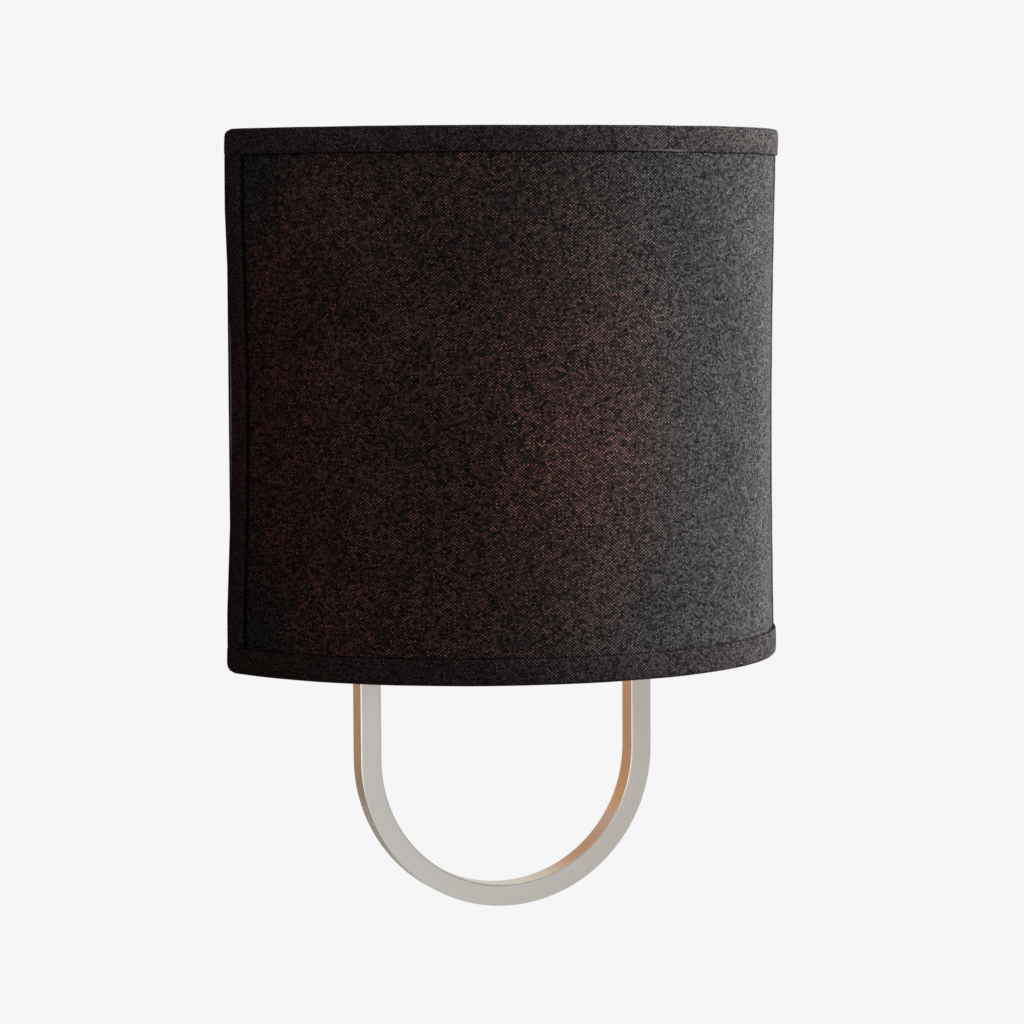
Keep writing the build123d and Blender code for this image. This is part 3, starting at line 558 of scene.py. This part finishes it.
def weave(tree):
    """Plain weave from the UV map.

    Returns the map, the height, each crossing's chance value, the tone and whether the warp
    is on top.
    """
    uv = tree.add("UVMap", uv_map="cloth_m").outputs[0]
    wander = tree.noise(uv, WANDER_SCALE, 2.0)
    u, v, _ = tree.parts(uv)
    warps = tree.math("DIVIDE", tree.fit(wander, WARP_WANDER, u), WARP_PITCH)
    wefts = tree.math("DIVIDE", tree.fit(wander, WEFT_WANDER, v), WEFT_PITCH)
    wave_u, wave_v = [tree.math("SINE", tree.times(yarns, pi)) for yarns in (warps, wefts)]
    crown_u, crown_v = [tree.math("ABSOLUTE", wave) for wave in (wave_u, wave_v)]
    warp_on_top = tree.math("GREATER_THAN", tree.times(wave_u, wave_v), 0.0)
    warp_height = tree.times(crown_u, tree.fit(crown_v, YARN_DIP, 1 - YARN_DIP))
    weft_height = tree.times(crown_v, tree.fit(crown_u, YARN_DIP, 1 - YARN_DIP))
    height = tree.choose(warp_on_top, weft_height, warp_height)
    warp_no, weft_no = [tree.math("FLOOR", yarns) for yarns in (warps, wefts)]
    warp_no_apart = tree.times(warp_no, WARP_STRIDE)
    weft_no_apart = tree.times(weft_no, WEFT_STRIDE)
    along_warp = tree.vector(warp_no_apart, tree.times(wefts, SLUB_PACE))
    along_weft = tree.vector(tree.times(warps, SLUB_PACE), weft_no_apart, WEFT_SEED)
    warp_slub, weft_slub = [tree.noise(way, 1.0, 2.0, 0.6) for way in (along_warp, along_weft)]
    slub = tree.choose(warp_on_top, weft_slub, warp_slub)
    crossing = {0: tree.vector(warp_no, weft_no)}
    cell = tree.add("TexWhiteNoise", crossing, noise_dimensions="2D").outputs["Value"]
    tone = tree.fit(cell, CELL_TONE, tree.ramp(slub, *SLUB_TONES))
    return {"uv": uv, "height": height, "cell": cell, "tone": tone, "warp_on_top": warp_on_top}


def hump(tree, distance):
    """1 at the distance 0, falling smoothly to 0."""
    return tree.math("EXPONENT", tree.times(distance, distance, -1.0))


def painted_glow(tree, cloth, amount):
    """Painted glow for the bulb's warm light through the linen: a wide red-brown field and a warmer
    core.
    """
    x, y, z = tree.parts(tree.place())
    turn = tree.math("ARCTAN2", x, tree.math("SUBTRACT", ARC_Y, y))

    def away(centre_turn, half_turn, centre_z, half_z):
        """Distance from a field's middle: 1 on its ellipse."""
        a = tree.math("SUBTRACT", turn, radians(centre_turn))
        b = tree.math("SUBTRACT", z, centre_z)
        return tree.length(
            tree.math("DIVIDE", a, radians(half_turn)), tree.math("DIVIDE", b, half_z)
        )

    ragged = tree.noise(cloth["uv"], RAGGED_SCALE, 5.0, 0.7)
    edge = tree.fit(ragged, FIELD_RAGGED, -FIELD_RAGGED / 2)
    field = tree.math("ADD", away(*GLOW_FIELD), edge)
    field = tree.ramp(field, *FIELD_EDGE, smooth=True)
    core = hump(tree, away(*GLOW_CORE))
    level = tree.times(field, tree.fit(core, CORE_GAIN, 1.0))
    cluster = tree.ramp(tree.noise(cloth["uv"], CLUSTER_SCALE, 2.0), *CLUSTERS)
    gaps = tree.ramp(cloth["cell"], *LEAK_CELLS)
    leak = tree.times(gaps, cluster, hump(tree, away(*GLOW_SPOTS)))
    pale = tree.math("POWER", amount, 2.0)
    seep = tree.fit(pale, PALE_GAIN, tree.fit(leak, LEAK_GAIN, LEAST_GLOW))
    return tree.times(level, seep), leak


def painted_seam_shade(tree, uv):
    """Painted shade beside the bands' hems, where the cloth dips under them."""
    u, v, _ = tree.parts(uv)
    beside = tree.math("SUBTRACT", ARC_LONG / 2 - BAND_WIDE, tree.math("ABSOLUTE", u))
    below = tree.math("SUBTRACT", HALF_HEIGHT - BAND_TALL, tree.math("ABSOLUTE", v))
    least = tree.ramp(u, *SEAM_BESIDE_LEAST)
    beside = tree.ramp(beside, *SEAM_BESIDE, least, smooth=True)
    below = tree.ramp(below, *SEAM_BELOW, SEAM_BELOW_LEAST, smooth=True)
    return tree.times(beside, below)


def painted_hem_shade_and_highlight(tree, uv):
    """Painted shade round a band's folded hem, which is where its UV map starts.

    The upper band is painted paler all over, as from light above, and its hem has a painted
    highlight at one place.
    """
    u, v, _ = tree.parts(uv)
    z = tree.parts(tree.place())[2]
    # Painted shade at the hem, lighter on the upper band.
    dark = tree.ramp(v, *HEM_EDGE, tree.ramp(z, *UPPER, HEM_LEAST), smooth=True)
    off = tree.math("ABSOLUTE", tree.math("SUBTRACT", u, ARC_LONG / 2 + HIGHLIGHT_U))
    # Painted highlight on the upper band's hem.
    painted_highlight = tree.times(
        tree.ramp(off, *HIGHLIGHT_LONG, HIGHLIGHT_GAIN, 0.0, smooth=True),
        tree.ramp(v, *HIGHLIGHT_TALL, 1.0, 0.0),
    )
    above = tree.ramp(z, *UPPER)
    return tree.fit(painted_highlight, above, tree.times(dark, tree.fit(above, UPPER_PAINTED_GAIN, 1.0)))


def linen(name, pale, shade, glows):
    """Charcoal plain weave: dark warp, paler weft, fuzz on the crowns, painted glow through gaps.
    """
    tree = Tree(name)
    cloth = weave(tree)
    fleck = tree.math("POWER", cloth["tone"], FLECK_POWER)
    yarn = tree.choose(cloth["warp_on_top"], 1.0, WARP_TONE)
    crown = tree.ramp(cloth["height"], *CROWN_TONES)
    cloud = tree.fit(tree.noise(cloth["uv"], CLOUD_SCALE, 3.0, 0.6), *CLOUD_TONES)
    amount = tree.times(tree.times(fleck, yarn), tree.times(crown, cloud))
    # Painted shade at the hems. On the bands, also the painted highlight and the paler upper band.
    amount = tree.times(amount, shade(tree, cloth["uv"]))
    tree.set(Base_Color=tree.mix(amount, LINEN_DARK, pale), Roughness=0.95)
    tree.set(Sheen_Weight=tree.fit(amount, *FUZZ), Sheen_Roughness=0.40)
    tree.set(Sheen_Tint=SHEEN_TINT, Specular_IOR_Level=0.0)
    tree.set(Normal=tree.bump(cloth["height"], 0.10 * MM, 0.12))
    # Painted glow: emission that stands in for the bulb's light through the linen and the bands.
    if glows:
        level, leak = painted_glow(tree, cloth, amount)
        colour = {0: tree.mix(leak, GLOW_RED, GLOW_ORANGE), "Scale": level}
        scaled = tree.add("VectorMath", colour, operation="SCALE").outputs[0]
        tree.set(Emission_Color=scaled, Emission_Strength=GLOW_STRENGTH)
    else:
        tree.set(Emission_Color=TRIM_GLOW, Emission_Strength=TRIM_GLOW_STRENGTH)
    return tree.material


def film_material():
    """Styrene film: faint calender lines and a soft gloss."""
    tree = Tree("liner_film")
    place = tree.place()
    lines = tree.noise(tree.stretch(place, (60.0, 60.0, 1600.0)), 1.0, 2.0)
    cloud = tree.noise(place, 45.0, 3.0)
    tree.set(Base_Color=tree.mix(cloud, (0.80, 0.77, 0.71), (0.90, 0.88, 0.84)))
    tree.set(Roughness=tree.ramp(lines, 0.3, 0.7, 0.38, 0.55), Specular_IOR_Level=0.4)
    tree.set(Normal=tree.bump(lines, 0.02 * MM, 0.6))
    return tree.material


# ---- Metal ----
BRUSH_LONG = 55.0               # the noise's pace along the brush marks
BRUSH_FINE = 5200.0             # and across them
EVEN_GRAIN = (900.0, 900.0, 900.0)


def bar_nickel():
    """Satin nickel brushed along the bar, round its bend too."""
    tree = Tree("brushed_nickel")
    x, y, z = tree.parts(tree.place())
    rise = tree.math("SUBTRACT", z, BAR_BEND_Z)
    below = tree.math("MINIMUM", rise, 0.0)
    across = tree.math("SUBTRACT", tree.length(x, below), BAR_BEND_R)
    turn = tree.math("ARCTAN2", x, tree.times(below, -1.0))
    above = tree.math("MAXIMUM", rise, 0.0)
    along = tree.fit(turn, BAR_BEND_R, tree.times(above, tree.math("SIGN", x)))
    line = [tree.times(along, BRUSH_LONG), tree.times(across, BRUSH_FINE)]
    brush = tree.noise(tree.vector(*line, tree.times(y, BRUSH_FINE)), 1.0, 3.0, 0.65)
    cloud = tree.vector(tree.times(along, 20.0), tree.times(across, 60.0), y)
    broad = tree.noise(cloud, 1.0, 3.0)
    tone = tree.fit(brush, 0.55, tree.times(broad, 0.45))
    tree.set(Base_Color=tree.mix(tone, (0.46, 0.445, 0.41), (0.62, 0.605, 0.565)))
    tree.set(Roughness=tree.ramp(brush, 0.25, 0.75, 0.26, 0.40), Metallic=1.0)
    tree.set(Normal=tree.bump(brush, 0.012 * MM, 0.7))
    return tree.material


def metal(name, low, high, rough, grain=EVEN_GRAIN, metallic=1.0):
    """Plated or painted metal with grain, handling marks and slightly uneven colour."""
    tree = Tree(name)
    place = tree.place()
    fine = tree.noise(tree.stretch(place, grain), 1.0, 3.0, 0.6)
    broad = tree.noise(place, 70.0, 4.0, 0.6)
    smear = tree.ramp(tree.noise(place, 190.0, 5.0, 0.7), 0.52, 0.72)
    tone = tree.fit(fine, 0.5, tree.times(broad, 0.5))
    tree.set(Base_Color=tree.mix(tone, low, high), Metallic=metallic)
    tree.set(Roughness=tree.fit(smear, 0.12, tree.ramp(fine, 0.3, 0.7, *rough)))
    tree.set(Normal=tree.bump(fine, 0.03 * MM, 0.6))
    return tree.material


# ---- Plastics, glass and insulation ----

def plastic(name, low, high, rough, coat=0.0):
    """Moulded plastic: faint mottling and fine texture."""
    tree = Tree(name)
    place = tree.place()
    fine = tree.noise(place, 1500.0, 2.0)
    mottle = tree.noise(place, 160.0, 4.0, 0.6)
    tree.set(Base_Color=tree.mix(mottle, low, high), Coat_Weight=coat)
    tree.set(Roughness=tree.ramp(mottle, 0.3, 0.7, rough - 0.06, rough + 0.08))
    tree.set(Normal=tree.bump(fine, 0.02 * MM, 0.5))
    return tree.material


def lit_glass():
    """Frosted bulb, lit: brightest round the middle of the globe, cooler at the neck."""
    tree = Tree("frosted_glass")
    z = tree.parts(tree.place())[2]
    rise = tree.ramp(z, GLASS_LOW.z, BULB_Z, smooth=True)
    frost = tree.noise(tree.place(), 900.0, 2.0)
    tree.set(Base_Color=tree.mix(frost, (0.86, 0.83, 0.76), (0.93, 0.91, 0.86)), Roughness=0.32)
    warm = tree.mix(rise, (0.95, 0.50, 0.20), (1.0, 0.78, 0.50))
    pale_part = tree.ramp(frost, 0.3, 0.7, 0.0, 0.25)
    tree.set(Emission_Color=tree.mix(pale_part, warm, (1.0, 0.86, 0.66)))
    tree.set(Emission_Strength=2.4, Normal=tree.bump(frost, 0.01 * MM, 0.4))
    return tree.material


# ---- The materials of the slots ----
WHITE_PAINT = ((0.80, 0.80, 0.78), (0.88, 0.88, 0.86), (0.40, 0.52), EVEN_GRAIN, 0.0)

# Darker and paler colour, roughness range, then the grain's pace and how metallic it is.
METALS = {
    "pan_finish": ((0.52, 0.50, 0.46), (0.64, 0.62, 0.58), (0.30, 0.42), (60.0, 900.0, 900.0)),
    "zinc_steel": ((0.55, 0.57, 0.60), (0.72, 0.73, 0.74), (0.24, 0.38)),
    "strap_steel": ((0.46, 0.47, 0.47), (0.60, 0.61, 0.60), (0.36, 0.52), (40.0, 700.0, 700.0)),
    "ground_green": ((0.02, 0.22, 0.07), (0.05, 0.36, 0.13), (0.30, 0.42), EVEN_GRAIN, 0.7),
    "nickel_nut": ((0.54, 0.52, 0.48), (0.68, 0.66, 0.61), (0.22, 0.34), (900.0, 90.0, 900.0)),
    "white_wire": WHITE_PAINT,
    "white_steel": WHITE_PAINT,
    "socket_brass": ((0.70, 0.50, 0.22), (0.84, 0.66, 0.34), (0.20, 0.34)),
    "bulb_aluminium": (
        (0.70, 0.70, 0.70), (0.85, 0.85, 0.85), (0.22, 0.34), (300.0, 300.0, 1500.0),
    ),
    "solder": ((0.48, 0.48, 0.48), (0.66, 0.66, 0.66), (0.34, 0.50)),
}

# Darker and paler colour, roughness and coat.
PLASTICS = {
    "socket_moulding": ((0.012, 0.011, 0.010), (0.030, 0.027, 0.025), 0.34, 0.2),
    "dark_insulator": ((0.012, 0.012, 0.018), (0.03, 0.03, 0.04), 0.16),
    "black_lead": ((0.014, 0.014, 0.014), (0.028, 0.028, 0.028), 0.45),
    "white_lead": ((0.76, 0.75, 0.71), (0.86, 0.86, 0.84), 0.45),
    "green_lead": ((0.02, 0.20, 0.06), (0.04, 0.29, 0.10), 0.45),
    "bushing_plastic": ((0.02, 0.02, 0.02), (0.04, 0.04, 0.04), 0.50),
    "connector_plastic": ((0.70, 0.22, 0.03), (0.84, 0.32, 0.05), 0.42),
    "ground_connector_plastic": ((0.04, 0.26, 0.09), (0.06, 0.36, 0.14), 0.42),
}

MATERIALS = {
    "brushed_nickel": bar_nickel(),
    "shade_linen": linen("shade_linen", LINEN_PALE, painted_seam_shade, True),
    "trim_linen": linen("trim_linen", TRIM_PALE, painted_hem_shade_and_highlight, False),
    "liner_film": film_material(),
    "frosted_glass": lit_glass(),
}
MATERIALS.update({name: metal(name, *values) for name, values in METALS.items()})
MATERIALS.update({name: plastic(name, *values) for name, values in PLASTICS.items()})


def dress_solids():
    """Gives each carried-over solid the material of its slot."""
    for row in frame["record"]["subparts"]:
        mesh = frame["nodes"][row["node"]].data
        mesh.materials.clear()
        mesh.materials.append(MATERIALS[row["material_slot"]])


def dress_shade():
    """Linen, film and the four folded bands, in place of their solids."""
    cloth = add_piece(
        curved_sheet("linen_cloth", CLOTH_R, CLOTH_SHEET),
        "shade", "shade_linen", MATERIALS["shade_linen"], "shade_fabric",
    )
    film = add_piece(
        curved_sheet("film_lining", FILM_R - SEAM_GAP, FILM_SHEET - SEAM_GAP),
        "shade", "liner_film", MATERIALS["liner_film"], "shade_liner",
    )
    bands = {
        "top_trim": edge_band("upper_band", 1, TOP_LEFT, TOP_RIGHT, TOP_SAG),
        "bottom_trim": edge_band("lower_band", -1, BOTTOM_LEFT, BOTTOM_RIGHT, BOTTOM_SAG),
        "left_trim": side_band("left_band", -1, LEFT_TAPER),
        "right_trim": side_band("right_band", 1, RIGHT_TAPER),
    }
    pieces = [
        add_piece(mesh, "shade", "trim_linen", MATERIALS["trim_linen"], node)
        for node, mesh in bands.items()
    ]


# ---- Stage, light and camera ----
PALE = 0.92                     # renders as the photograph's background
FILL_LEVEL = 0.006              # what the room sends to the object
FLOOR_Z = -0.60
FLOOR_REACH = 4.0
FLOOR_DIM = 0.12                # what the floor sends to the object
SHADOW_SHARE = 0.06             # how much of the real floor shows, near the light
SHADOW_REACH = (0.35, 1.1)


def warm_tones(tree):
    """Brown in front and low down, orange farther back."""
    _, y, z = tree.parts(tree.place())
    orange = tree.ramp(y, 0.78, 1.00, smooth=True)
    tan = tree.mix(orange, (0.06, 0.045, 0.03), (1.72, 0.72, 0.18))
    return tree.mix(tree.ramp(z, -0.50, -0.30), (0.42, 0.31, 0.20), tan)


def high_tones(tree):
    """Orange at the left, cream at the right."""
    x = tree.parts(tree.place())[0]
    cream = tree.ramp(x, -0.02, 0.16, smooth=True)
    return tree.mix(cream, (0.74, 0.26, 0.04), (1.06, 0.95, 0.80))


def front_tones(tree):
    """Nearly white, then darker and a little warmer at the right."""
    x, _, z = tree.parts(tree.place())
    warm = tree.mix(tree.ramp(z, -0.6, 0.6), (0.70, 0.67, 0.60), (0.72, 0.69, 0.61))
    return tree.mix(tree.ramp(x, 0.40, 0.52, smooth=True), (1.04, 1.02, 1.05), warm)


# A reflected card: where it starts and ends in plan, its heights, and its colour or the
# function that makes it.
CARDS = {
    "warm_card": ((-0.35, 0.25), (-0.35, 2.0), (-0.58, 0.12), warm_tones),
    "high_card": ((-0.30, 0.80), (0.45, 0.80), (0.02, 0.60), high_tones),
    "low_card": ((-0.20, 0.80), (0.45, 0.80), (-0.59, -0.33), (0.28, 0.215, 0.15)),
    "left_card": ((-1.1, -1.0), (-1.1, 0.1), (-0.58, 0.4), (2.3, 2.35, 2.45)),
    "front_card": ((-0.2, -1.1), (1.2, -1.1), (-0.58, 0.4), front_tones),
}

# A soft light: its place, what it points at, its width and height, and its power in watts.
LIGHTS = {
    "key": ((1.76, -0.30, 0.45), (0.0, -0.05, -0.05), (1.2, 1.7), 25.0),
    "edge": ((1.15, 0.75, 0.25), (0.05, -0.05, -0.02), (0.8, 1.5), 20.0),
    "front": ((0.55, -1.5, 0.9), (0.0, -0.05, 0.0), (1.0, 0.8), 1.9),
    "haze": ((-0.21, -0.18, 0.26), (-0.12, -0.03, 0.09), (0.06, 0.06), 0.017),
}

# The photograph's view, fitted to the outline of the shade and bar.
CAMERA_PLACE = (-0.5341, -1.5135, 0.0725)
CAMERA_YAW = radians(19.66)
CAMERA_PITCH = radians(4.43)
CAMERA_ROLL = radians(-0.31)
CAMERA_LENS = 127.97            # mm, for a frame 36 mm wide


def seen_directly(tree):
    """1 for camera, glossy and transmission rays, 0 for light on the object."""
    path = tree.nodes.new("ShaderNodeLightPath").outputs
    seen = path["Is Camera Ray"]
    for kind in ("Is Glossy Ray", "Is Transmission Ray"):
        either = tree.nodes.new("ShaderNodeMath")
        either.operation = "MAXIMUM"
        tree.links.new(seen, either.inputs[0])
        tree.links.new(path[kind], either.inputs[1])
        seen = either.outputs[0]
    return seen


def make_world():
    """Pale to look at, and nearly dark as light on the object."""
    world = bpy.data.worlds.new("pale_studio")
    SCENE.world = world
    world.use_nodes = True
    tree = world.node_tree
    tree.nodes.clear()
    output = tree.nodes.new("ShaderNodeOutputWorld")
    switch = tree.nodes.new("ShaderNodeMixShader")
    tree.links.new(seen_directly(tree), switch.inputs[0])
    for index, level in ((1, FILL_LEVEL), (2, PALE)):
        background = tree.nodes.new("ShaderNodeBackground")
        background.inputs[0].default_value = (level, level, level, 1.0)
        tree.links.new(background.outputs[0], switch.inputs[index])
    tree.links.new(switch.outputs[0], output.inputs[0])


def plane(name, corners):
    """One flat face that belongs to the stage."""
    mesh = bpy.data.meshes.new(name)
    mesh.from_pydata(corners, [], [tuple(range(len(corners)))])
    panel = bpy.data.objects.new(name, mesh)
    SCENE.collection.objects.link(panel)
    return panel


def make_floor():
    """Plain pale floor that keeps a faint shadow and is clear from below."""
    sides = ((-1, -1), (1, -1), (1, 1), (-1, 1))
    corners = [(x * FLOOR_REACH, y * FLOOR_REACH, FLOOR_Z) for x, y in sides]
    panel = plane("studio_floor", corners)
    floor = Tree("studio_floor")
    direct = seen_directly(floor.material.node_tree)
    pale, dim = (PALE, PALE, PALE), (FLOOR_DIM, FLOOR_DIM, FLOOR_DIM)
    floor.set(Base_Color=floor.mix(direct, dim, pale), Roughness=0.9, Specular_IOR_Level=0.0)
    far = floor.add("VectorMath", {0: floor.place()}, operation="LENGTH").outputs["Value"]
    near = floor.ramp(far, *SHADOW_REACH, 1.0, 0.0, smooth=True)
    level = floor.fit(near, SHADOW_SHARE / 2, 1.0)
    own = floor.add("Emission", {"Color": pale, "Strength": level})
    share = floor.times(direct, floor.fit(near, -SHADOW_SHARE, 1.0))
    blend = floor.add("MixShader", {0: share, 1: floor.bsdf.outputs[0], 2: own.outputs[0]})
    clear = floor.add("BsdfTransparent").outputs[0]
    from_below = floor.add("NewGeometry").outputs["Backfacing"]
    floor.show(floor.add("MixShader", {0: from_below, 1: blend.outputs[0], 2: clear}))
    panel.data.materials.append(floor.material)


def reflected_card(name, start, end, heights, colour):
    """Card seen only in the metal."""
    low, high = heights
    card = plane(name, [(*start, low), (*end, low), (*end, high), (*start, high)])
    tree = Tree(name)
    if callable(colour):
        colour = colour(tree)
    tree.show(tree.add("Emission", {"Color": colour, "Strength": 1.0}))
    card.data.materials.append(tree.material)
    card.visible_camera = False
    card.visible_diffuse = False
    card.visible_shadow = False
    card.visible_transmission = False


def soft_light(name, place, aim, size, power):
    """Rectangular light that neither the camera nor the metal sees."""
    lamp = bpy.data.lights.new(name, "AREA")
    lamp.shape = "RECTANGLE"
    lamp.size, lamp.size_y = size
    lamp.energy = power
    holder = bpy.data.objects.new(name, lamp)
    holder.location = place
    holder.rotation_mode = "QUATERNION"
    holder.rotation_quaternion = (Vector(aim) - Vector(place)).to_track_quat("-Z", "Y")
    holder.visible_camera = False
    holder.visible_glossy = False
    SCENE.collection.objects.link(holder)


def make_camera():
    """The photograph's view: from the left and a little above."""
    yaw, pitch, roll = CAMERA_YAW, CAMERA_PITCH, CAMERA_ROLL
    ahead = Vector((sin(yaw) * cos(pitch), cos(yaw) * cos(pitch), -sin(pitch)))
    right = Vector((cos(yaw), -sin(yaw), 0.0))
    up = right.cross(ahead)
    right, up = right * cos(roll) + up * sin(roll), up * cos(roll) - right * sin(roll)
    data = bpy.data.cameras.new("photo_view")
    data.sensor_width = 36.0
    data.lens = CAMERA_LENS
    data.clip_start, data.clip_end = 0.05, 20.0
    camera = bpy.data.objects.new("photo_view", data)
    turn = Matrix((right, up, -ahead)).transposed().to_4x4()
    camera.matrix_world = Matrix.Translation(CAMERA_PLACE) @ turn
    SCENE.collection.objects.link(camera)
    SCENE.camera = camera


def make_studio():
    make_world()
    make_floor()
    for name, values in CARDS.items():
        reflected_card(name, *values)
    for name, values in LIGHTS.items():
        soft_light(name, *values)
    SCENE.view_settings.view_transform = "Standard"


dress_solids()
dress_shade()
make_studio()
make_camera()
